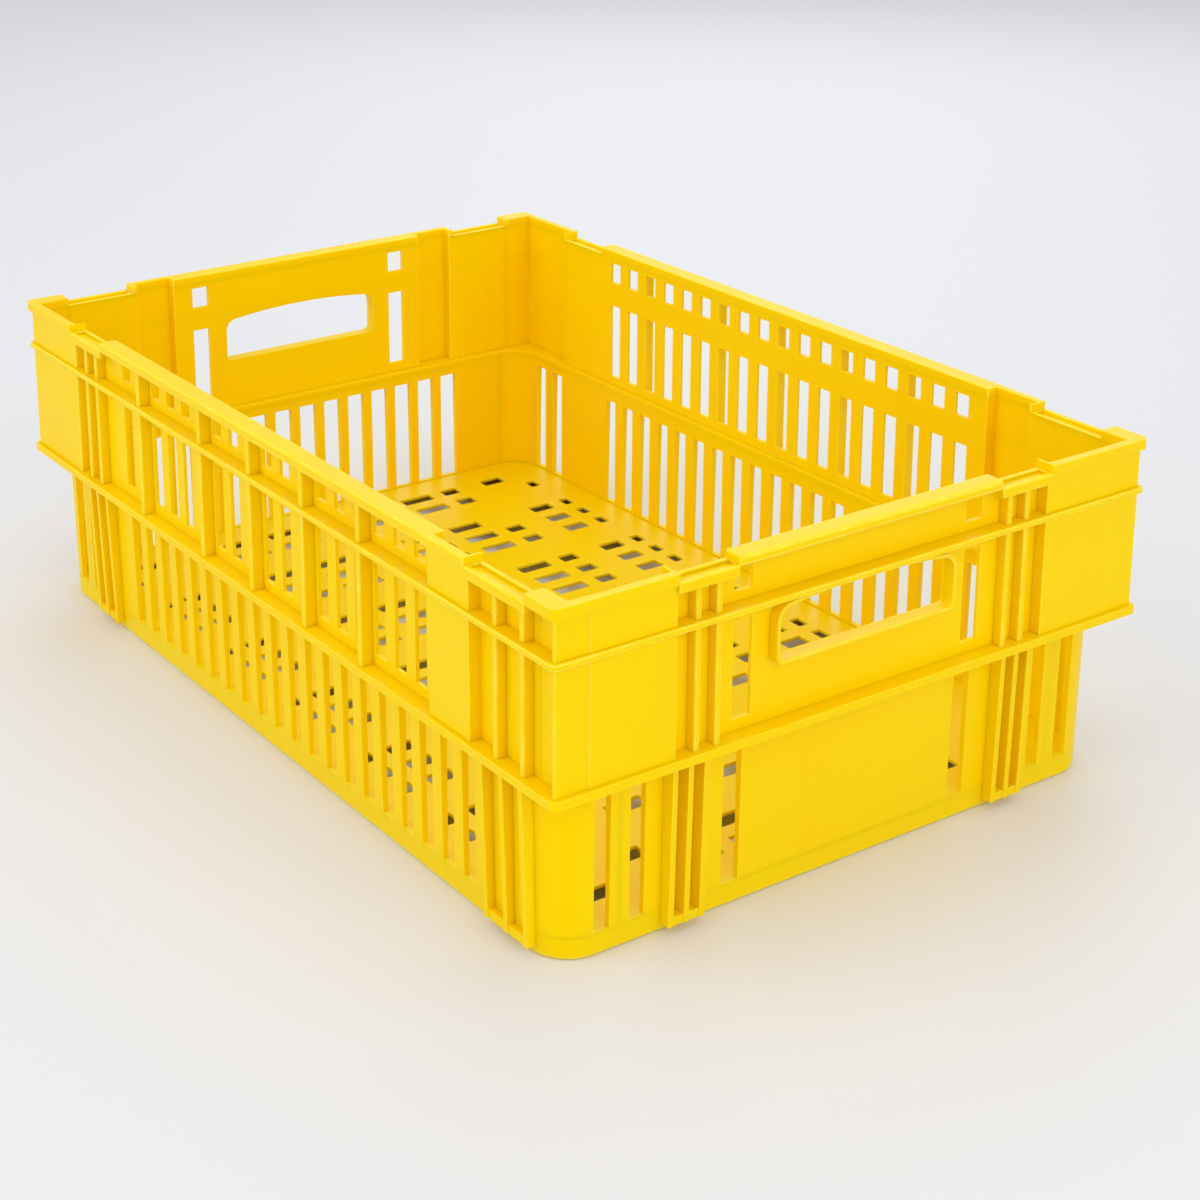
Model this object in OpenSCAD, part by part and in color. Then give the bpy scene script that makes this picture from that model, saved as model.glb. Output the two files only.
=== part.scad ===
// Stacking ventilated crate: slotted floor, slotted lower and upper walls, a
// ledge flange at mid height, a belt rib, a hollow rim with eight lowered
// saddles, eight groups of foot ribs that stand in the saddles of a crate
// below, and an arched hand hole in each end wall.
// Units are millimetres. X runs along the long side, Y along the short side,
// Z is up. The origin is the centre of the footprint, on the plane the base
// stands on. Front is -Y, back +Y, left -X, right +X. The crate is a mirror
// image about Y = 0; its left and right ends differ.
// The crate is one moulding: every node below is a region of it that meets
// its neighbours face to face without overlapping.

/* [Crate] */
// Length over the rim, along X
crate_l = 600; // [598:1:640]
// Width over the rim, along Y
crate_w = 400; // [398:1:430]
// Height from the base to the top of the rim
crate_h = 200; // [196:1:240]
// Height of the foot ribs' lower ends above the base
foot_z = 5; // [4:0.5:6]

/* [Walls] */
// Thickness of the lower walls at the base
skin_t = 3; // [2.6:0.2:3]
// Thickness of the upper walls
up_t = 2.4; // [2.2:0.2:3]
// Gap between the rim edge and the long upper wall's outer face
side_inset = 9.6; // [9:0.2:10.4]
// Gap between the rim edge and the end upper wall's outer face
end_inset = 9.8; // [9:0.2:10.4]
// Gap between the rim edge and the foot of the long lower wall
low_side_inset = 12.5; // [12.3:0.2:13.1]
// Gap between the rim edge and the foot of the end lower wall
low_end_inset = 15.2; // [14.6:0.2:15.8]
// Outer radius of the lower corners
low_corner_r = 23; // [20:1:26]
// Outward lean of the lower walls over their height
low_draft = 1.5; // [0.5:0.5:2]
// Gap between the rim edge and the outer face of the bulged channels
bulge_inset = 2.5; // [2:0.5:3]

/* [Levels] */
// Top of the ledge flange
flange_z = 101.2; // [98:0.2:104]
// Thickness of the ledge flange
flange_t = 3.8; // [3:0.2:4.4]
// Mid height of the belt rib
belt_z = 170; // [169:0.5:171]
// Thickness of the belt rib
belt_t = 3.5; // [3:0.25:4]
// Depth of the rim's outer skirt below the rim top
skirt_h = 6; // [5.5:0.5:7]
// Depth of the saddle floors below the rim top
saddle_drop = 4.5; // [4:0.5:5]

/* [Slots] */
// Pitch of the long wall slots
slot_pitch = 20; // [19.8:0.1:20.2]
// Width of the upper long wall slots
slot_w = 11; // [9:0.5:12]
// Width of the lower long wall slots
low_slot_w = 11.5; // [9:0.5:12.5]
// Pitch of the end wall slots
end_pitch = 19.8; // [19.5:0.1:20]
// Pitch of the floor slots along X
floor_pitch = 21.2; // [20.8:0.1:21.4]
// Width of the floor slots
floor_slot_w = 11; // [10:0.5:13]

/* [Floor] */
// Height of the floor's top face
floor_z = 12.5; // [12:0.5:13]
// Thickness of the floor
floor_t = 2.6; // [2.4:0.2:3.2]
// Depth of the ribs under the floor
floor_rib_h = 3; // [2:0.5:4]

/* [Hand hole] */
// Width of the hand hole
hand_w = 118; // [100:1:120]
// Bottom edge of the hand hole
hand_z0 = 135; // [130:1:138]
// Top edge of the hand hole at its corners
hand_z1 = 164; // [160:1:164]
// Rise of the arch at the middle of the hand hole
hand_rise = 3.2; // [1:0.1:3.4]
// Wall of the collar round the hand hole
collar_t = 2.2; // [1.8:0.2:3]

/* [Hidden] */
$fn = 64;
crate_yellow = [1, 0.84, 0.02];

half_l = crate_l / 2;
half_w = crate_w / 2;
rim_r = 4;       // corner radius of the rim, belt rib and flange
lap = 1;         // overlap of joined areas and overshoot of cuts

// Wall faces, as distances from the centre; _in is the inner face
up_x = half_l - end_inset;
up_x_in = up_x - up_t;
up_y = half_w - side_inset;
up_y_in = up_y - up_t;
low_x = half_l - low_end_inset;
low_x_in = low_x - skin_t;
low_y = half_w - low_side_inset;
low_y_in = low_y - skin_t;
bulge_x = half_l - bulge_inset;
bulge_x_in = bulge_x - up_t;
bulge_y = half_w - bulge_inset;
bulge_y_in = bulge_y - up_t;
strip_set = 0.5;               // plain corner strips, set back from the bulges
strip_x = bulge_x - strip_set;
strip_x_in = strip_x - up_t;

// Levels
floor_b = floor_z - floor_t;
flange_b = flange_z - flange_t;
belt_b = belt_z - belt_t / 2;
belt_top = belt_b + belt_t;
rim_z = crate_h - skirt_h;     // top of the wall skins
plate_z = crate_h - 3;         // underside of the rim plate
saddle_z = crate_h - saddle_drop;
saddle_plate_z = saddle_z - 5; // underside of the saddle plates

// Stations [from, to] along X on the long walls
left_saddle_x = [-half_l + 68, -half_l + 112];
right_saddle_x = [half_l - 76, half_l - 24];
left_bulge_end = -half_l + 70;
right_bulge_x = [half_l - 112, half_l - 75];
// Stations [from, to] on the end walls, as distances from Y = 0
right_saddle_y = [half_w - 111, half_w - 74];
right_bulge_y = [half_w - 75, half_w - 23];
left_saddle_y = [half_w - 72, half_w - 25];
left_bulge_y = [half_w - 104, half_w - 73];

// ---- helpers ----
// Rectangle from corner to corner
module box2(x0, y0, x1, y1) { translate([x0, y0]) square([x1 - x0, y1 - y0]); }
// The same on both sides of Y = 0
module pair2(x0, y0, x1, y1) {
  box2(x0, y0, x1, y1);
  box2(x0, -y1, x1, -y0);
}
// Rectangles listed as [x0, y0, x1, y1]
module areas2(list) { for (b = list) box2(b[0], b[1], b[2], b[3]); }
module box3(x0, y0, z0, x1, y1, z1) {
  translate([x0, y0, z0]) cube([x1 - x0, y1 - y0, z1 - z0]);
}
// Rounded rectangle with half sizes a, b
module rrect(a, b, r) {
  box2(-a + r, -b, a - r, b);
  box2(-a, -b + r, a, b - r);
  for (sx = [-1, 1], sy = [-1, 1]) translate([sx * (a - r), sy * (b - r)]) circle(r);
}
// Plan extruded from level z0 to level z1
module slab(z0, z1) { translate([0, 0, z0]) linear_extrude(z1 - z0) children(); }
module back_side() { mirror([0, 1, 0]) children(); }
// The +Y item and its mirror image
module both_sides() { for (s = [0, 1]) mirror([0, s, 0]) children(); }

// ---- plans ----
module outline2() { rrect(half_l, half_w, rim_r); }
// Ring of width w inside the outline
module edge_ring2(w) {
  difference() {
    outline2();
    rrect(half_l - w, half_w - w, rim_r - w);
  }
}
module low_in2() { rrect(low_x_in, low_y_in, low_corner_r - skin_t); }
// Clear inside of the upper walls, with the open channels
module up_in2() {
  box2(-up_x_in, -up_y_in, up_x_in, up_y_in);
  pair2(-up_x_in, 0, left_bulge_end - up_t, bulge_y_in);
  pair2(right_bulge_x[0] + up_t, 0, right_bulge_x[1] - up_t, bulge_y_in);
  pair2(0, right_bulge_y[0] + up_t, bulge_x_in, right_bulge_y[1]);
  pair2(0, right_bulge_y[1] - lap, strip_x_in, up_y_in);
  pair2(-bulge_x_in, left_bulge_y[0] + up_t, 0, left_bulge_y[1] - up_t);
}
// Outside of the upper walls
module up_out2() {
  box2(-up_x, -up_y, up_x, up_y);
  pair2(-up_x, 0, left_bulge_end, bulge_y);
  pair2(-strip_x, bulge_y_in, -up_x + lap, bulge_y);
  pair2(right_bulge_x[0], 0, right_bulge_x[1], bulge_y);
  pair2(0, right_bulge_y[0], bulge_x, right_bulge_y[1]);
  pair2(0, right_bulge_y[1] - lap, strip_x, up_y);
  pair2(strip_x_in, up_y - lap, strip_x, bulge_y - strip_set);
  pair2(-bulge_x, left_bulge_y[0], 0, left_bulge_y[1]);
}
module up_wall2() { difference() { up_out2(); up_in2(); } }
// Between the outline and the upper walls
module outside_walls2() { difference() { outline2(); up_out2(); } }

// ---- slot cutters ----
// Row of slots through the front wall, centred on each x in the list
module front_slots(list, w, z0, z1) {
  for (x = list) box3(x - w / 2, -half_w - 5, z0, x + w / 2, -low_y_in + 12, z1);
}
// One slot through an end wall, centred on y
module end_slot(x0, x1, y, w, z0, z1) { box3(x0, y - w / 2, z0, x1, y + w / 2, z1); }

// ---- floor ----
floor_cols = [0, 1, 3, 4, 5, 7, 8, 9, 11, 12]; // slot columns, in pitches from X = 0
// Slot rows: [y from, y to, column left solid (-1 for none)]
floor_rows = [
  [-12, 12, -1], [22, 50, -1], [61, 85.6, -1],
  [95, 108.6, 9], [130, 147.5, 11], [157, 164.5, 12]
];
floor_rib_cols = [2, 6, 10];                   // ribs along Y, in pitches from X = 0
floor_rib_ys = [17, 55.5, 92, 119, 152.5];     // ribs along X
cross_rib_w = 2.2;
long_rib_w = 2;
band_in = 3.5; // reach of the base band inside the wall, below the floor
band_in_r = low_corner_r - skin_t - band_in;

module floor_slots2() {
  for (k = floor_cols, row = floor_rows) if (k != row[2])
    for (s = [-1, 1]) {
      x = s * k * floor_pitch;
      pair2(x - floor_slot_w / 2, row[0], x + floor_slot_w / 2, row[1]);
    }
}
module floor_grid() color(crate_yellow)
  slab(floor_b, floor_z) difference() { low_in2(); floor_slots2(); }
module floor_ribs() color(crate_yellow)
  slab(floor_b - floor_rib_h, floor_b) intersection() {
    rrect(low_x_in - band_in, low_y_in - band_in, band_in_r);
    union() {
      for (k = floor_rib_cols, s = [-1, 1]) {
        x = s * k * floor_pitch;
        box2(x - cross_rib_w / 2, -half_w, x + cross_rib_w / 2, half_w);
      }
      for (y = floor_rib_ys, s = [-1, 1])
        box2(-half_l, s * y - long_rib_w / 2, half_l, s * y + long_rib_w / 2);
    }
  }

// ---- profiles run round the lower box ----
// A profile is a list of [distance out from the corner centre lines, height]
corner_x = low_x - low_corner_r; // corner centres
corner_y = low_y - low_corner_r;
low_in_r = low_corner_r - skin_t;
// Outer face of the leaning wall at height z
function low_face(z) = low_corner_r + low_draft * z / flange_b;
function shift_out(profile, d) = [for (q = profile) [q[0] + d, q[1]]];
module run_side(profile, half) {
  rotate([90, 0, 90]) translate([0, 0, -half]) linear_extrude(2 * half) polygon(profile);
}
module run_round(profile) {
  for (a = [0, 180]) rotate([0, 0, a]) {
    run_side(shift_out(profile, corner_y), corner_x);
    rotate([0, 0, 90]) run_side(shift_out(profile, corner_x), corner_y);
  }
  // Corners: [X sign, Y sign, turn]
  for (c = [[1, 1, 0], [-1, 1, 90], [-1, -1, 180], [1, -1, 270]])
    translate([c[0] * corner_x, c[1] * corner_y, 0]) rotate([0, 0, c[2]])
      rotate_extrude(angle = 90) polygon(profile);
}

// Base band: the thick bottom edge the lower walls stand on
module base_band() color(crate_yellow)
  run_round([
    [band_in_r, 0], [low_corner_r, 0], [low_face(floor_z), floor_z],
    [low_in_r, floor_z], [low_in_r, floor_b], [band_in_r, floor_b]
  ]);
// Band and lower walls with the space just inside them, to trim the feet
module low_solid() {
  inside = low_corner_r - 13;
  top = flange_b + 5;
  run_round([[inside, 0], [low_corner_r, 0], [low_face(top), top], [inside, top]]);
}

// ---- lower walls ----
// Seams between walls and corners
seam_front_left = -half_l + 54.3;
seam_front_right = corner_x;
seam_right = half_w - 50.7;
seam_left = corner_y;
lower_slots = [for (k = [0:19]) (k - 8.5) * slot_pitch];
// Two extra front slots by the left seam
corner_slot_x = -half_l + 44;
seam_slot_x = -half_l + 64.5;
corner_slot_w = 11;
low_slot_b = floor_z + 1.5;
end_slot_b = low_slot_b - 0.5;
low_slot_top = flange_b - 7.4;
corner_slot_top = flange_b - 5.4;  // also the right wall's slots
left_slot_top = flange_b - 5.6;
left_slot_w = 13;
right_slots = [[4, 11.5], [7, 9.2]]; // [pitches from Y = 0, width]

module low_wall_part(x0, y0, x1, y1) {
  intersection() {
    run_round([
      [low_in_r, floor_z], [low_face(floor_z), floor_z],
      [low_face(flange_b), flange_b], [low_in_r, flange_b]
    ]);
    box3(x0, y0, 0, x1, y1, crate_h);
  }
}
module lower_wall_front() color(crate_yellow) difference() {
  low_wall_part(seam_front_left, -half_w, seam_front_right, -half_w / 2);
  front_slots(lower_slots, low_slot_w, low_slot_b, low_slot_top);
  front_slots([seam_slot_x], corner_slot_w, low_slot_b, corner_slot_top);
}
module lower_wall_back() back_side() lower_wall_front();
module lower_wall_left() color(crate_yellow) difference() {
  low_wall_part(-half_l, -seam_left, -half_l / 2, seam_left);
  for (k = [-6:6])
    end_slot(-half_l, -low_x_in + 5, k * end_pitch, left_slot_w, end_slot_b, left_slot_top);
}
module lower_wall_right() color(crate_yellow) difference() {
  low_wall_part(half_l / 2, -seam_right, half_l, seam_right);
  for (s = [-1, 1], slot = right_slots)
    end_slot(low_x_in - 5, half_l, s * slot[0] * end_pitch, slot[1], end_slot_b, corner_slot_top);
}
module lower_corner_front_left() color(crate_yellow) difference() {
  low_wall_part(-half_l, -half_w, seam_front_left, -seam_left);
  front_slots([corner_slot_x], corner_slot_w, low_slot_b, corner_slot_top);
}
module lower_corner_back_left() back_side() lower_corner_front_left();
module lower_corner_front_right() color(crate_yellow) difference() {
  intersection() {
    low_wall_part(half_l / 2, -half_w, half_l, -seam_right);
    union() {
      box3(seam_front_right, -half_w, 0, half_l, -seam_right, crate_h);
      box3(half_l - 40, -half_w + 30, 0, half_l, -seam_right, crate_h);
    }
  }
  // Slot in the end face, off centre on its pitch line
  slot_y = -8 * end_pitch;
  box3(low_x_in - 12, slot_y - 6.6, end_slot_b, half_l, slot_y + 3, corner_slot_top);
}
module lower_corner_back_right() back_side() lower_corner_front_right();

// ---- feet: groups of leaning ribs on the lower walls, closed below by a web ----
foot_rib_w = 3.2;
foot_rib_in = 12;           // depth of a rib inside its outer face, before trimming
web_out = 4.3;              // reach of the webs from the wall
foot_rib_out = 4.8;         // reach of the ribs at their lower ends
end_extra = 2.5;            // further reach of both on the end walls
side_rib_top = half_w - 4.5; // reach of the long wall ribs under the flange
end_rib_top = half_l - 5.5;  // reach of the end wall ribs under the flange
web_top = foot_z + 4.8;
// Rib centres: X on the long walls, distance from Y = 0 on the end walls
front_feet = [
  [-half_l + 75.5, -half_l + 87, -half_l + 100.5],
  [half_l - 69.2, half_l - 51.5, half_l - 34.5]
];
right_feet = [half_w - 97.6, half_w - 87.8, half_w - 78];
left_feet = [half_w - 58.5, half_w - 47, half_w - 35.5];

// Rib across a wall, with its outer face at low_out below and top_out under the flange
module lean_rib(low_out, top_out) {
  inner = low_out - foot_rib_in;
  translate([0, 0, -foot_rib_w / 2]) linear_extrude(foot_rib_w)
    polygon([[inner, foot_z], [low_out, foot_z], [top_out, flange_b], [inner, flange_b]]);
}
module side_rib(x) {
  translate([x, 0, 0]) mirror([0, 1, 0]) rotate([90, 0, 90])
    lean_rib(low_y + foot_rib_out, side_rib_top);
}
module end_rib(y) {
  translate([0, y, 0]) rotate([90, 0, 0])
    lean_rib(low_x + foot_rib_out + end_extra, end_rib_top);
}
module feet_front() color(crate_yellow) difference() {
  union() {
    for (group = front_feet) {
      for (x = group) side_rib(x);
      box3(group[0], -low_y - web_out, foot_z, group[2], -low_y + 4, web_top);
    }
  }
  low_solid();
}
module feet_back() back_side() feet_front();
module feet_end(group) {
  both_sides() difference() {
    union() {
      for (y = group) end_rib(y);
      box3(low_x - 4, group[0], foot_z, low_x + web_out + end_extra, group[2], web_top);
    }
    low_solid();
  }
}
module feet_right() color(crate_yellow) feet_end(right_feet);
module feet_left() color(crate_yellow) mirror([1, 0, 0]) feet_end(left_feet);

// ---- ledge flange between the lower and the upper walls ----
flange_lip_h = 1; // lip under the flange's outer edge
flange_lip_w = 2.6;
module mid_flange() color(crate_yellow) {
  slab(flange_b, flange_z) difference() { outline2(); low_in2(); }
  slab(flange_b - flange_lip_h, flange_b) edge_ring2(flange_lip_w);
}

// ---- hand hole outline ----
hand_top_r = 8;
hand_bottom_r = 3;
// The outline, grown by g
module hand2(g) {
  w = hand_w / 2 + g;
  top_r = hand_top_r + g;
  bottom_r = hand_bottom_r + g;
  top_x = w - top_r;
  top_z = hand_z1 - hand_top_r;
  bottom_z = hand_z0 + hand_bottom_r;
  arch_r = (top_x * top_x + hand_rise * hand_rise) / (2 * hand_rise);
  box2(-w, bottom_z, w, top_z);
  box2(-w + bottom_r, hand_z0 - g, w - bottom_r, top_z);
  for (s = [-1, 1]) {
    translate([s * (w - bottom_r), bottom_z]) circle(bottom_r);
    translate([s * top_x, top_z]) circle(top_r);
  }
  // Arch: the part of a large circle between the top corners
  intersection() {
    box2(-top_x, hand_z0 + 5, top_x, hand_z1 + 12);
    translate([0, hand_z1 + g + hand_rise - arch_r]) circle(arch_r, $fn = 720);
  }
}
module hand_cut(x0, x1, g) {
  translate([x0, 0, 0]) rotate([90, 0, 90]) linear_extrude(x1 - x0) hand2(g);
}

// ---- upper walls ----
upper_slots = [for (k = [-9:8]) (k + 0.5) * slot_pitch];
tall_slot_b = flange_z + 6.3;  // tall slots, below the belt rib
tall_slot_top = belt_z - 10;
short_slot_b = belt_z + 7;     // short slots, above the belt rib
short_slot_top = crate_h - 9;
up_end_slot_y = 78.3;
up_end_slot_w = 11.8;

module up_part(x0, y0, x1, y1) {
  slab(flange_z, rim_z) intersection() { up_wall2(); box2(x0, y0, x1, y1); }
}
module upper_wall_front() color(crate_yellow) difference() {
  up_part(left_bulge_end, -half_w, right_saddle_x[1], -up_y_in + lap);
  front_slots(upper_slots, slot_w, tall_slot_b, tall_slot_top);
  front_slots(upper_slots, slot_w, short_slot_b, short_slot_top);
}
module upper_wall_back() back_side() upper_wall_front();
// Slots and hand hole of an end wall, between x0 and x1
module end_openings(x0, x1) {
  for (y = [-up_end_slot_y, up_end_slot_y]) {
    end_slot(x0, x1, y, up_end_slot_w, tall_slot_b + 0.5, tall_slot_top + 1);
    end_slot(x0, x1, y, up_end_slot_w, short_slot_b, short_slot_top);
  }
  hand_cut(x0, x1, 0);
}
module upper_wall_left() color(crate_yellow) difference() {
  up_part(-half_l, -left_saddle_y[1], -up_x_in + lap, left_saddle_y[1]);
  end_openings(-up_x - lap, -up_x_in + lap);
}
module upper_wall_right() color(crate_yellow) difference() {
  up_part(up_x_in - lap, -right_bulge_y[0], half_l, right_bulge_y[0]);
  end_openings(up_x_in - lap, up_x + lap);
}
module upper_corner_front_left() color(crate_yellow)
  up_part(-half_l, -half_w, left_bulge_end, -left_saddle_y[1]);
module upper_corner_back_left() back_side() upper_corner_front_left();
module upper_corner_front_right() color(crate_yellow)
  up_part(right_saddle_x[1], -half_w, half_l, -right_bulge_y[0]);
module upper_corner_back_right() back_side() upper_corner_front_right();

// ---- hand hole collars, cut off level under the belt rib ----
collar_inset = 3; // gap between the rim edge and the collar's outer end
module collar(x0, x1) {
  difference() {
    intersection() {
      hand_cut(x0, x1, collar_t);
      box3(x0 - lap, -half_w, 0, x1 + lap, half_w, belt_b);
    }
    hand_cut(x0 - lap, x1 + lap, 0);
  }
}
module hand_collar_left() color(crate_yellow) collar(-half_l + collar_inset, -up_x);
module hand_collar_right() color(crate_yellow) collar(up_x, half_l - collar_inset);

// ---- vertical ribs outside the upper walls ----
wall_rib_w = 4;
wall_rib_inset = 2;     // gap to the rim edge
saddle_rib_w = 3.5;     // ribs under the saddles
saddle_rib_inset = 3.2;
wall_rib_xs = [for (p = [-7, -3, 0, 3, 6]) p * slot_pitch];
saddle_rib_xs = [
  left_saddle_x[0] + 15, left_saddle_x[1] - 14.5,
  right_saddle_x[0] + 22, right_saddle_x[1] - 7
];
right_rib_ys = [right_saddle_y[0] + 9.4, right_saddle_y[1] - 14.6];
left_rib_ys = [left_saddle_y[0] + 15, left_saddle_y[1] - 15];

// Ribs on the front wall
module front_ribs2(xs, w, inset) {
  for (x = xs) box2(x - w / 2, -half_w + inset, x + w / 2, -up_y);
}
module wall_ribs2() { front_ribs2(wall_rib_xs, wall_rib_w, wall_rib_inset); }
// Ribs on an end wall, between x0 and x1
module end_ribs2(ys, x0, x1) {
  for (y = ys) pair2(x0, y - saddle_rib_w / 2, x1, y + saddle_rib_w / 2);
}
// Ribs from the flange to the saddle plates, broken by the belt rib
module rib_part() {
  difference() {
    slab(flange_z, saddle_plate_z) children();
    slab(belt_b, belt_top) outline2();
  }
}
module wall_ribs_front() color(crate_yellow) {
  rib_part() {
    wall_ribs2();
    front_ribs2(saddle_rib_xs, saddle_rib_w, saddle_rib_inset);
  }
  slab(saddle_plate_z, rim_z) wall_ribs2();
}
module wall_ribs_back() back_side() wall_ribs_front();
module wall_ribs_left() color(crate_yellow)
  rib_part() end_ribs2(left_rib_ys, -half_l + saddle_rib_inset, -up_x);
module wall_ribs_right() color(crate_yellow)
  rib_part() end_ribs2(right_rib_ys, up_x, half_l - saddle_rib_inset);

// ---- belt rib ----
module belt_rib() color(crate_yellow) slab(belt_b, belt_top) outside_walls2();

// ---- rim ----
rim_skirt_t = 3;
rim_web_t = 2.4;
module rim_plan2() { difference() { outline2(); up_in2(); } }
// Raised rim over one area: plate, skirt and skin, closed by webs at its ends
module rim_part(area, webs) {
  slab(plate_z, crate_h) intersection() { rim_plan2(); areas2([area]); }
  slab(rim_z, plate_z) intersection() {
    areas2([area]);
    union() {
      edge_ring2(rim_skirt_t);
      up_wall2();
      intersection() { rim_plan2(); areas2(webs); }
    }
  }
}
module rim_front() color(crate_yellow) {
  x0 = left_saddle_x[1];
  x1 = right_saddle_x[0];
  rim_part([x0, -half_w, x1, -up_y_in + lap],
           [[x0, -half_w, x0 + rim_web_t, 0], [x1 - rim_web_t, -half_w, x1, 0]]);
}
module rim_back() back_side() rim_front();
module rim_right() color(crate_yellow) {
  y = right_saddle_y[0];
  rim_part([up_x_in - lap, -y, half_l, y],
           [[0, -y, half_l, -y + rim_web_t], [0, y - rim_web_t, half_l, y]]);
}
module rim_left() color(crate_yellow) {
  y = left_saddle_y[0];
  rim_part([-half_l, -y, -up_x_in + lap, y],
           [[-half_l, -y, 0, -y + rim_web_t], [-half_l, y - rim_web_t, 0, y]]);
}
module rim_corner_front_left() color(crate_yellow) {
  x = left_saddle_x[0];
  y = -left_saddle_y[1];
  rim_part([-half_l, -half_w, x, y],
           [[x - rim_web_t, -half_w, x, 0], [-half_l, y - rim_web_t, 0, y]]);
}
module rim_corner_back_left() back_side() rim_corner_front_left();
module rim_corner_front_right() color(crate_yellow) {
  x = right_saddle_x[1];
  y = -right_saddle_y[1];
  rim_part([x, -half_w, half_l, y],
           [[x, -half_w, x + rim_web_t, 0], [0, y - rim_web_t, half_l, y]]);
}
module rim_corner_back_right() back_side() rim_corner_front_right();

// ---- lowered stacking saddles ----
saddle_plate_t = 3;
saddle_edge_h = 6;
saddle_edge_t = 3.2;
// Wall skin, plate and outer edge over one area
module saddle_part(area) {
  slab(rim_z, saddle_z) intersection() { up_wall2(); areas2([area]); }
  slab(saddle_plate_z, saddle_plate_z + saddle_plate_t)
    intersection() { outside_walls2(); areas2([area]); }
  slab(saddle_z - saddle_edge_h, saddle_z) intersection() {
    difference() { edge_ring2(saddle_edge_t); up_out2(); }
    areas2([area]);
  }
}
module saddles_front() color(crate_yellow)
  for (x = [left_saddle_x, right_saddle_x])
    saddle_part([x[0], -half_w, x[1], -up_y_in + lap]);
module saddles_back() back_side() saddles_front();
module saddles_right() color(crate_yellow)
  both_sides() saddle_part([up_x_in - lap, right_saddle_y[0], half_l, right_saddle_y[1]]);
module saddles_left() color(crate_yellow)
  both_sides() saddle_part([-half_l, left_saddle_y[0], -up_x_in + lap, left_saddle_y[1]]);

floor_grid();
floor_ribs();
base_band();
lower_wall_front();
lower_wall_back();
lower_wall_left();
lower_wall_right();
lower_corner_front_left();
lower_corner_back_left();
lower_corner_front_right();
lower_corner_back_right();
feet_front();
feet_back();
feet_left();
feet_right();
mid_flange();
upper_wall_front();
upper_wall_back();
upper_wall_left();
upper_wall_right();
upper_corner_front_left();
upper_corner_back_left();
upper_corner_front_right();
upper_corner_back_right();
hand_collar_left();
hand_collar_right();
wall_ribs_front();
wall_ribs_back();
wall_ribs_left();
wall_ribs_right();
belt_rib();
rim_front();
rim_back();
rim_left();
rim_right();
rim_corner_front_left();
rim_corner_back_left();
rim_corner_front_right();
rim_corner_back_right();
saddles_front();
saddles_back();
saddles_left();
saddles_right();
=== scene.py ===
"""A moulded yellow plastic crate, 600 x 400 mm, on a studio floor.

Metres, +Z up. The crate is centred on X and Y, with its long side along X, and
stands on z = 0. It is one moulding, so each CAD region is rebuilt with rounded
edges, while the edges where two regions meet stay sharp and flush.
"""
import math

import bmesh
import bpy
from mathutils import Matrix, Vector
from mathutils.bvhtree import BVHTree


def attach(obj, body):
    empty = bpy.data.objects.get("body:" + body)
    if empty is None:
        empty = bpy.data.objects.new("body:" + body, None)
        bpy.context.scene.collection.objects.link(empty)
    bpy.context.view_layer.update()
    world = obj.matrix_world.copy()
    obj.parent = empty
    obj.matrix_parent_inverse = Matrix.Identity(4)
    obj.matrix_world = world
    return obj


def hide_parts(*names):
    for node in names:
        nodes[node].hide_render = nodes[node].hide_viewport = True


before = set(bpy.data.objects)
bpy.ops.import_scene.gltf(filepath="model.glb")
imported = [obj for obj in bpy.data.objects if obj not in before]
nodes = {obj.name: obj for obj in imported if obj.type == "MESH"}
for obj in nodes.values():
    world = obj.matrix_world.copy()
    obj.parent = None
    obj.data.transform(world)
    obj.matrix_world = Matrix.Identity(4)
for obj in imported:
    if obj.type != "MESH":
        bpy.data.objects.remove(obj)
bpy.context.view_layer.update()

region_names = sorted(nodes)
scene = bpy.context.scene

# Half the crate's length and width
HALF_X, HALF_Y = 0.300, 0.200

# ---------------------------------------------------------- contact of regions
TOUCH_DISTANCE = 4e-5
EDGE_SAMPLES = (0.08, 0.3, 0.5, 0.7, 0.92)  # places along an edge, 0 to 1
MAX_TOUCHING_SAMPLES = 2


def build_contact_tree():
    """All regions in one search tree, and the region name of each triangle."""
    points, triangles, owners = [], [], []
    for name in region_names:
        mesh = nodes[name].data
        mesh.calc_loop_triangles()
        first = len(points)
        points.extend(vertex.co.copy() for vertex in mesh.vertices)
        for triangle in mesh.loop_triangles:
            triangles.append(tuple(first + corner for corner in triangle.vertices))
            owners.append(name)
    return BVHTree.FromPolygons(points, triangles, all_triangles=True), owners


contact_tree, triangle_owners = build_contact_tree()


def touches_other(point, name):
    """True where another region lies within touching distance of the point."""
    found = contact_tree.find_nearest_range(point, TOUCH_DISTANCE)
    return any(triangle_owners[index] != name for _, _, index, _ in found)


def is_edge_free(start, end, name):
    """True where most of the edge is on the crate's own outside."""
    touching = sum(touches_other(start.lerp(end, t), name) for t in EDGE_SAMPLES)
    return touching <= MAX_TOUCHING_SAMPLES


# -------------------------------------------------------------- edge rounding
# Radii are in millimetres; all other lengths are in metres.
DEFAULT_RADIUS = 0.8
REGION_RADIUS = {"belt_rib": 1.3, "floor_grid": 0.6, "floor_ribs": 0.4}
PREFIX_RADIUS = {"feet": 0.9, "wall_ribs": 1.1}

OUTER_MARGIN = 0.0006      # an outer edge is this close to the crate's sides
RIM_TOP_Z = 0.193          # outer rim edges above this get the large radius
VERTICAL_SHARE = 0.6       # least rise over length of a vertical edge
CORNER_MARGIN = 0.004      # the same as OUTER_MARGIN, for the upper walls
LONG_EDGE = 0.08

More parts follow.
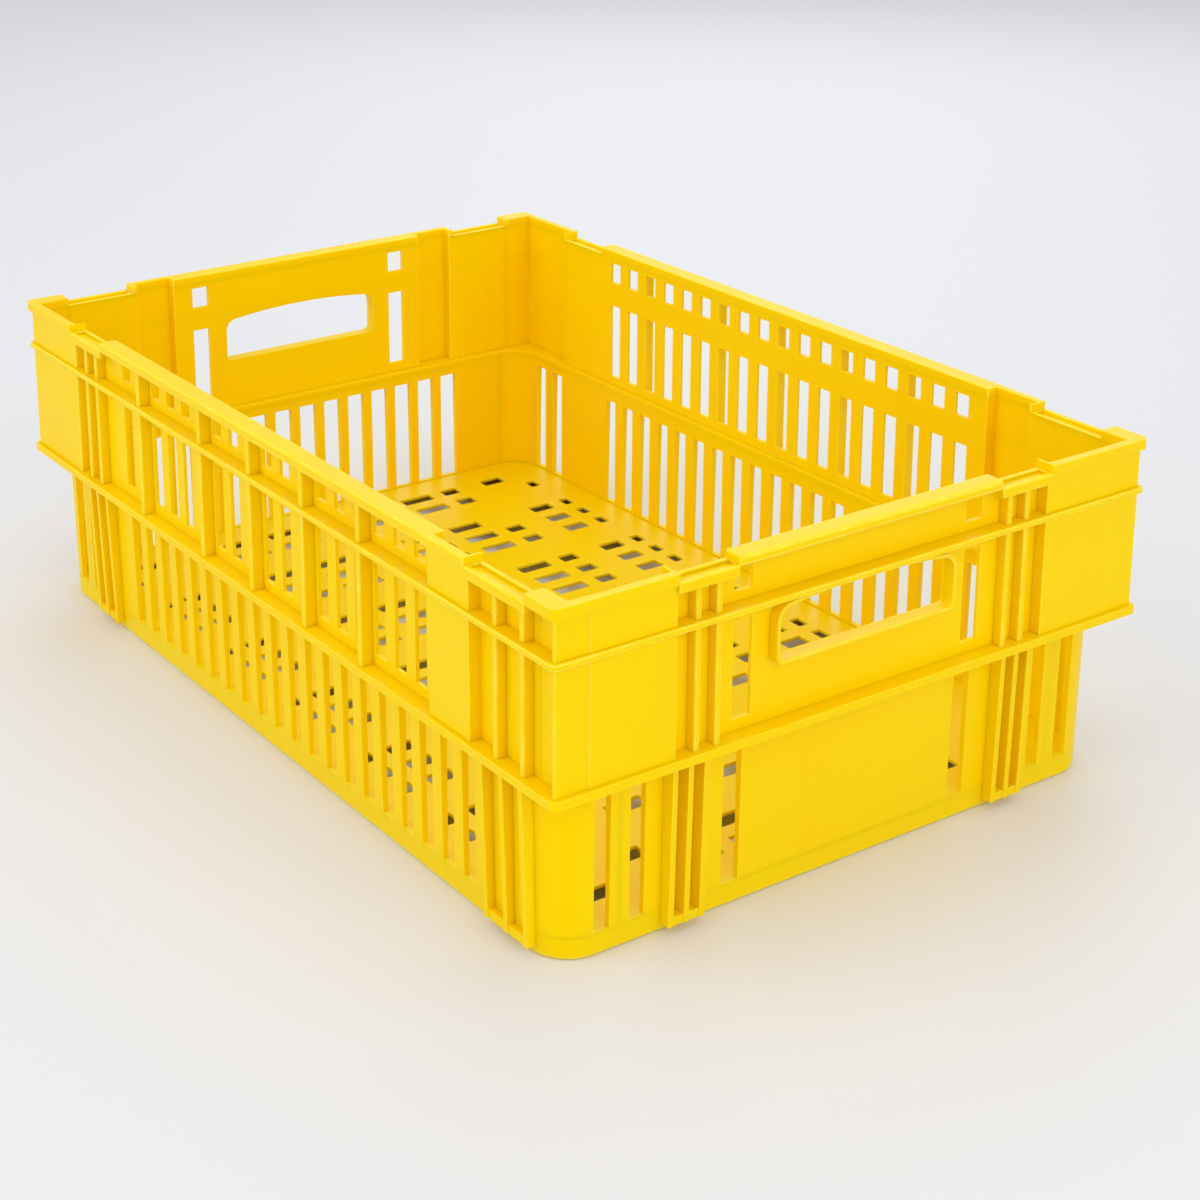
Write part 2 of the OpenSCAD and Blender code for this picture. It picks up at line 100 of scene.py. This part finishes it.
# Underside of the base band: its outline starts beyond these distances from
# the centre, and beyond an arc at each corner
BAND_BOTTOM_Z = 0.001
BAND_SIDE_X, BAND_SIDE_Y = 0.2815, 0.1845
BAND_CORNER_X, BAND_CORNER_Y = 0.262, 0.164
BAND_ARC_X, BAND_ARC_Y, BAND_ARC_RADIUS = 0.2618, 0.1645, 0.021


def is_band_outline(x, y, z):
    """True on the outer edge of the base band's underside; x and y are positive."""
    beyond_side = x > BAND_SIDE_X or y > BAND_SIDE_Y
    beyond_arc = (
        x > BAND_CORNER_X
        and y > BAND_CORNER_Y
        and math.hypot(x - BAND_ARC_X, y - BAND_ARC_Y) > BAND_ARC_RADIUS
    )
    return z < BAND_BOTTOM_Z and (beyond_side or beyond_arc)


def edge_radius(name, start, end):
    """Rounding of an edge in millimetres, by region and by where it sits."""
    middle = (start + end) / 2
    x, y, z = abs(middle.x), abs(middle.y), middle.z
    length = (start - end).length
    vertical = abs(start.z - end.z) > VERTICAL_SHARE * length
    outer = x > HALF_X - OUTER_MARGIN or y > HALF_Y - OUTER_MARGIN

    if name.startswith(("rim", "saddles")):
        if vertical:
            return 1.4 if outer else 1.2
        return 2.0 if outer and z > RIM_TOP_Z else 1.0
    if name == "mid_flange":
        return 1.6 if outer else 1.0
    if name == "base_band" and is_band_outline(x, y, z):
        return 2.2
    if name.startswith(("upper_corner", "upper_wall")) and vertical and length > LONG_EDGE:
        near_side = x > HALF_X - CORNER_MARGIN or y > HALF_Y - CORNER_MARGIN
        return 2.4 if near_side else 1.3
    for prefix, radius in PREFIX_RADIUS.items():
        if name.startswith(prefix):
            return radius
    return REGION_RADIUS.get(name, DEFAULT_RADIUS)


# ------------------------------------------------------------- moulded regions
MERGE_DISTANCE = 2e-6
DEGENERATE_LENGTH = 1e-6
FLAT_ANGLE = math.radians(0.6)      # faces this close to coplanar are joined
CURVED_ANGLE = math.radians(0.02)   # the same, for regions with curved faces
CURVED_REGIONS = ("base_band", "lower_corner")
MIN_ROUNDED_ANGLE = math.radians(28)
SHARP_ANGLE = math.radians(40)


def weighted_mesh(name):
    """The cleaned CAD mesh with its bevel weights, and its largest radius."""
    bm = bmesh.new()
    bm.from_mesh(nodes[name].data)
    bmesh.ops.remove_doubles(bm, verts=bm.verts, dist=MERGE_DISTANCE)
    curved = name.startswith(CURVED_REGIONS)
    bmesh.ops.dissolve_limit(
        bm,
        angle_limit=CURVED_ANGLE if curved else FLAT_ANGLE,
        verts=bm.verts,
        edges=bm.edges,
    )
    bmesh.ops.recalc_face_normals(bm, faces=bm.faces)

    weight = bm.edges.layers.float.new("bevel_weight_edge")
    largest = 0.0
    for edge in bm.edges:
        start, end = (vertex.co for vertex in edge.verts)
        # Concave edges have a negative angle; an open edge counts as flat
        if edge.calc_face_angle_signed(0.0) < MIN_ROUNDED_ANGLE:
            continue
        if not is_edge_free(start, end, name):
            continue
        radius = edge_radius(name, start, end)
        edge[weight] = radius
        largest = max(largest, radius)
    if largest > 0:
        for edge in bm.edges:
            edge[weight] = edge[weight] / largest

    mesh = bpy.data.meshes.new(name + "_moulded")
    bm.to_mesh(mesh)
    bm.free()
    return mesh, largest


def add_bevel(region, radius):
    """Round the weighted edges; radius, in millimetres, is that of weight 1."""
    bevel = region.modifiers.new("edges", "BEVEL")
    bevel.limit_method = "WEIGHT"
    bevel.width = radius * 1e-3
    bevel.offset_type = "OFFSET"
    bevel.segments = 3
    bevel.profile = 0.5
    bevel.use_clamp_overlap = True
    bevel.harden_normals = False
    bevel.miter_outer = "MITER_SHARP"
    bevel.loop_slide = False
    # The rounded edge faces get the second material, which paints a paler highlight on them
    bevel.material = 1


def set_shading(mesh):
    """Smooth faces, with the edges that are still hard marked sharp."""
    bm = bmesh.new()
    bm.from_mesh(mesh)
    bmesh.ops.dissolve_degenerate(bm, dist=DEGENERATE_LENGTH, edges=bm.edges)
    for face in bm.faces:
        face.smooth = True
    for edge in bm.edges:
        edge.smooth = edge.calc_face_angle(math.pi) < SHARP_ANGLE
    bm.to_mesh(mesh)
    bm.free()


def build_region(name, materials):
    """One region of the crate; materials are those of its faces and its edges."""
    mesh, largest_radius = weighted_mesh(name)
    region = bpy.data.objects.new(name + "_moulded", mesh)
    scene.collection.objects.link(region)
    for material in materials:
        mesh.materials.append(material)
    if largest_radius > 0:
        add_bevel(region, largest_radius)

    # Keep the rounded result as the mesh itself
    depsgraph = bpy.context.evaluated_depsgraph_get()
    rounded = bpy.data.meshes.new_from_object(region.evaluated_get(depsgraph))
    region.modifiers.clear()
    region.data = rounded
    set_shading(rounded)
    rounded.name = name + "_moulded"

    # Large faces set the normals, so that they shade flat
    normals = region.modifiers.new("flat_faces", "WEIGHTED_NORMAL")
    normals.mode = "FACE_AREA"
    normals.weight = 90
    normals.keep_sharp = True
    return region


# ------------------------------------------------------------------- materials
def add_node(tree, kind, inputs, **settings):
    """Add a shader node; each input is a value or the socket that feeds it."""
    node = tree.nodes.new("ShaderNode" + kind)
    for key, value in settings.items():
        setattr(node, key, value)
    for key, value in inputs.items():
        if isinstance(value, bpy.types.NodeSocket):
            tree.links.new(value, node.inputs[key])
        else:
            node.inputs[key].default_value = value
    return node


def plastic(name, edge_highlight_and_wear_strength):
    """Moulded polyethylene; the edge argument, 0 to 1, is the strength of a paler painted
    highlight on rounded edges, which also dulls their gloss.
    """
    material = bpy.data.materials.new(name)
    material.use_nodes = True
    tree = material.node_tree
    tree.nodes.clear()
    link = tree.links.new
    output = add_node(tree, "OutputMaterial", {})
    shader = add_node(tree, "BsdfPrincipled", {
        "IOR": 1.34,
        "Specular IOR Level": 0.45,
        "Specular Tint": (1.0, 0.72, 0.08, 1),
        "Subsurface Weight": 0.35,
        "Subsurface Radius": (1.0, 0.7, 0.02),
        "Subsurface Scale": 0.005,
        "Coat Weight": 0.0,
        "Coat Roughness": 0.25,
    })
    link(shader.outputs[0], output.inputs[0])
    position = add_node(tree, "TexCoord", {}).outputs["Object"]

    def noise(scale, detail=3.0, roughness=0.5, distortion=0.0, vector=position):
        return add_node(tree, "TexNoise", {
            "Scale": scale, "Detail": detail, "Roughness": roughness,
            "Distortion": distortion, "Vector": vector,
        }).outputs["Fac"]

    def remap(value, source, target):
        return add_node(tree, "MapRange", {
            "From Min": source[0], "From Max": source[1],
            "To Min": target[0], "To Max": target[1], "Value": value,
        }).outputs[0]

    def mapping(**inputs):
        return add_node(tree, "Mapping", {**inputs, "Vector": position}).outputs[0]

    def mix(factor, first, second):
        inputs = {0: factor, 6: first, 7: second}  # sockets 6 and 7 are the colours
        return add_node(tree, "Mix", inputs, data_type="RGBA").outputs[2]

    def combine(operation, first, second):
        return add_node(tree, "Math", {0: first, 1: second}, operation=operation).outputs[0]

    def bump(height, strength, distance, invert=False, **inputs):
        inputs.update(Height=height, Strength=strength, Distance=distance)
        return add_node(tree, "Bump", inputs, invert=invert).outputs[0]

    # Broad colour drift of the pigment
    drift = remap(noise(scale=9.0, detail=2.0), source=(0.3, 0.7), target=(0.0, 1.0))
    colour = mix(drift, (0.985, 0.655, 0.0, 1), (0.985, 0.69, 0.0, 1))
    # Flow streaks that run up the walls
    stretched = mapping(Scale=(1.0, 1.0, 0.12))
    streaks = noise(scale=120.0, roughness=0.6, distortion=0.4, vector=stretched)
    streaks = remap(streaks, source=(0.35, 0.75), target=(0.0, 0.10))
    colour = mix(streaks, colour, (0.985, 0.61, 0.0, 1))
    # Painted highlight: the rounded edges are painted paler yellow, unevenly along their
    # length
    edge_highlight_and_wear = noise(scale=60.0, detail=4.0, roughness=0.6)
    edge_highlight_and_wear = remap(edge_highlight_and_wear, source=(0.35, 0.65), target=(0.25 * edge_highlight_and_wear_strength, 0.9 * edge_highlight_and_wear_strength))
    colour = mix(edge_highlight_and_wear, colour, (1.0, 0.80, 0.07, 1))
    # Fine scuffs
    slanted = mapping(Scale=(14.0, 14.0, 1.6), Rotation=(0.4, 0.25, 0.9))
    scuffs = noise(scale=30.0, detail=6.0, roughness=0.72, vector=slanted)
    scuffs = remap(scuffs, source=(0.66, 0.78), target=(0.0, 1.0))
    colour = mix(combine("MULTIPLY", scuffs, 0.10), colour, (0.93, 0.70, 0.09, 1))
    # Dark specks
    specks = remap(noise(scale=420.0, detail=1.0), source=(0.76, 0.80), target=(0.0, 1.0))
    colour = mix(combine("MULTIPLY", specks, 0.22), colour, (0.70, 0.42, 0.02, 1))
    link(colour, shader.inputs["Base Color"])

    # Uneven gloss, duller along the rounded edges under the painted highlight, and where
    # scuffed
    roughness = noise(scale=26.0, detail=4.0, roughness=0.6)
    roughness = remap(roughness, source=(0.3, 0.7), target=(0.38, 0.46))
    for mark, dulling in ((edge_highlight_and_wear, 0.12), (scuffs, 0.16)):
        roughness = combine("ADD", roughness, combine("MULTIPLY", mark, dulling))
    link(roughness, shader.inputs["Roughness"])

    # Relief: sink and warp of the moulding, fine mould grain, then scuffs
    warp = noise(scale=14.0, detail=2.0, roughness=0.4)
    relief = bump(warp, strength=0.35, distance=0.0012)
    grain = noise(scale=900.0, roughness=0.6)
    relief = bump(grain, strength=0.22, distance=0.00012, Normal=relief)
    relief = bump(scuffs, strength=0.3, distance=0.0001, invert=True, Normal=relief)
    link(relief, shader.inputs["Normal"])
    return material


def floor_material():
    """Matt light grey with a faint mottle."""
    material = bpy.data.materials.new("studio_floor")
    material.use_nodes = True
    tree = material.node_tree
    shader = tree.nodes["Principled BSDF"]
    mottle = add_node(tree, "TexNoise", {"Scale": 3.0}).outputs["Fac"]
    grey = add_node(tree, "MapRange", {"To Min": 0.78, "To Max": 0.81, "Value": mottle})
    tree.links.new(grey.outputs[0], shader.inputs["Base Color"])
    shader.inputs["Roughness"].default_value = 0.6
    return material


# ----------------------------------------------------------------------- stage
def build_floor(half_size):
    bm = bmesh.new()
    bmesh.ops.create_grid(bm, x_segments=8, y_segments=8, size=half_size)
    mesh = bpy.data.meshes.new("studio_floor")
    bm.to_mesh(mesh)
    bm.free()
    floor = bpy.data.objects.new("studio_floor", mesh)
    mesh.materials.append(floor_material())
    scene.collection.objects.link(floor)


def build_world(colour, strength):
    world = bpy.data.worlds.new("studio")
    scene.world = world
    world.use_nodes = True
    background = world.node_tree.nodes["Background"]
    background.inputs["Color"].default_value = colour
    background.inputs["Strength"].default_value = strength


# Area lights: name, place, point aimed at, size, power in watts, colour
LIGHTS = (
    ("key", (-0.45, -2.1, 1.4), (0, 0, 0.1), (2.2, 1.6), 16.5, (1.0, 0.99, 0.97)),
    ("fill", (2.1, -0.2, 1.0), (0, 0, 0.1), (2.2, 1.6), 13.5, (0.99, 0.99, 1.0)),
    ("top", (0.0, 0.2, 2.1), (0, 0, 0), (1.8, 1.4), 6, (1, 1, 1)),
    ("back", (-1.5, 1.5, 1.2), (0, 0, 0.1), (1.4, 1.0), 7, (1, 1, 1)),
)


def build_light(name, place, target, size, power, colour):
    light = bpy.data.lights.new(name, "AREA")
    light.shape = "RECTANGLE"
    light.size, light.size_y = size
    light.energy = power
    light.color = colour
    lamp = bpy.data.objects.new(name, light)
    lamp.location = place
    aim = Vector(target) - Vector(place)
    lamp.rotation_euler = aim.to_track_quat("-Z", "Y").to_euler()
    scene.collection.objects.link(lamp)


def build_camera(place, azimuth, elevation, roll, lens, shift):
    """Azimuth turns from -Y towards +X; angles in degrees, lens in millimetres."""
    azimuth, elevation, roll = map(math.radians, (azimuth, elevation, roll))
    back = Vector((
        math.sin(azimuth) * math.cos(elevation),
        -math.cos(azimuth) * math.cos(elevation),
        math.sin(elevation),
    ))
    right = (-back).cross(Vector((0, 0, 1))).normalized()
    up = right.cross(-back)
    rolled_right = math.cos(roll) * right + math.sin(roll) * up
    rolled_up = -math.sin(roll) * right + math.cos(roll) * up
    pose = Matrix((rolled_right, rolled_up, back)).transposed().to_4x4()
    pose.translation = place

    camera = bpy.data.cameras.new("camera")
    holder = bpy.data.objects.new("camera", camera)
    scene.collection.objects.link(holder)
    holder.matrix_world = pose
    camera.sensor_width = 36.0
    camera.sensor_fit = "HORIZONTAL"
    camera.lens = lens
    camera.shift_x, camera.shift_y = shift
    camera.clip_start = 0.01
    scene.camera = holder


# ----------------------------------------------------------------------- build
# The second material, for the rounded edges, paints a paler highlight along them
crate_materials = (
    plastic("crate_polyethylene", edge_highlight_and_wear_strength=0.0),
    plastic("crate_polyethylene_edge", edge_highlight_and_wear_strength=1.0),
)
for name in region_names:
    region = build_region(name, crate_materials)
    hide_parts(name)
    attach(region, "root")

build_floor(half_size=6.0)
build_world(colour=(0.93, 0.95, 1.0, 1), strength=0.76)
for light in LIGHTS:
    build_light(*light)
build_camera(
    place=(1.111868, -0.777784, 0.649413),
    azimuth=56.32,
    elevation=16.19,
    roll=-0.43,
    lens=71.0412,
    shift=(0.09685, -0.270975),
)
scene.view_settings.view_transform = "Standard"
scene.view_settings.look = "None"
scene.view_settings.exposure = 0.0
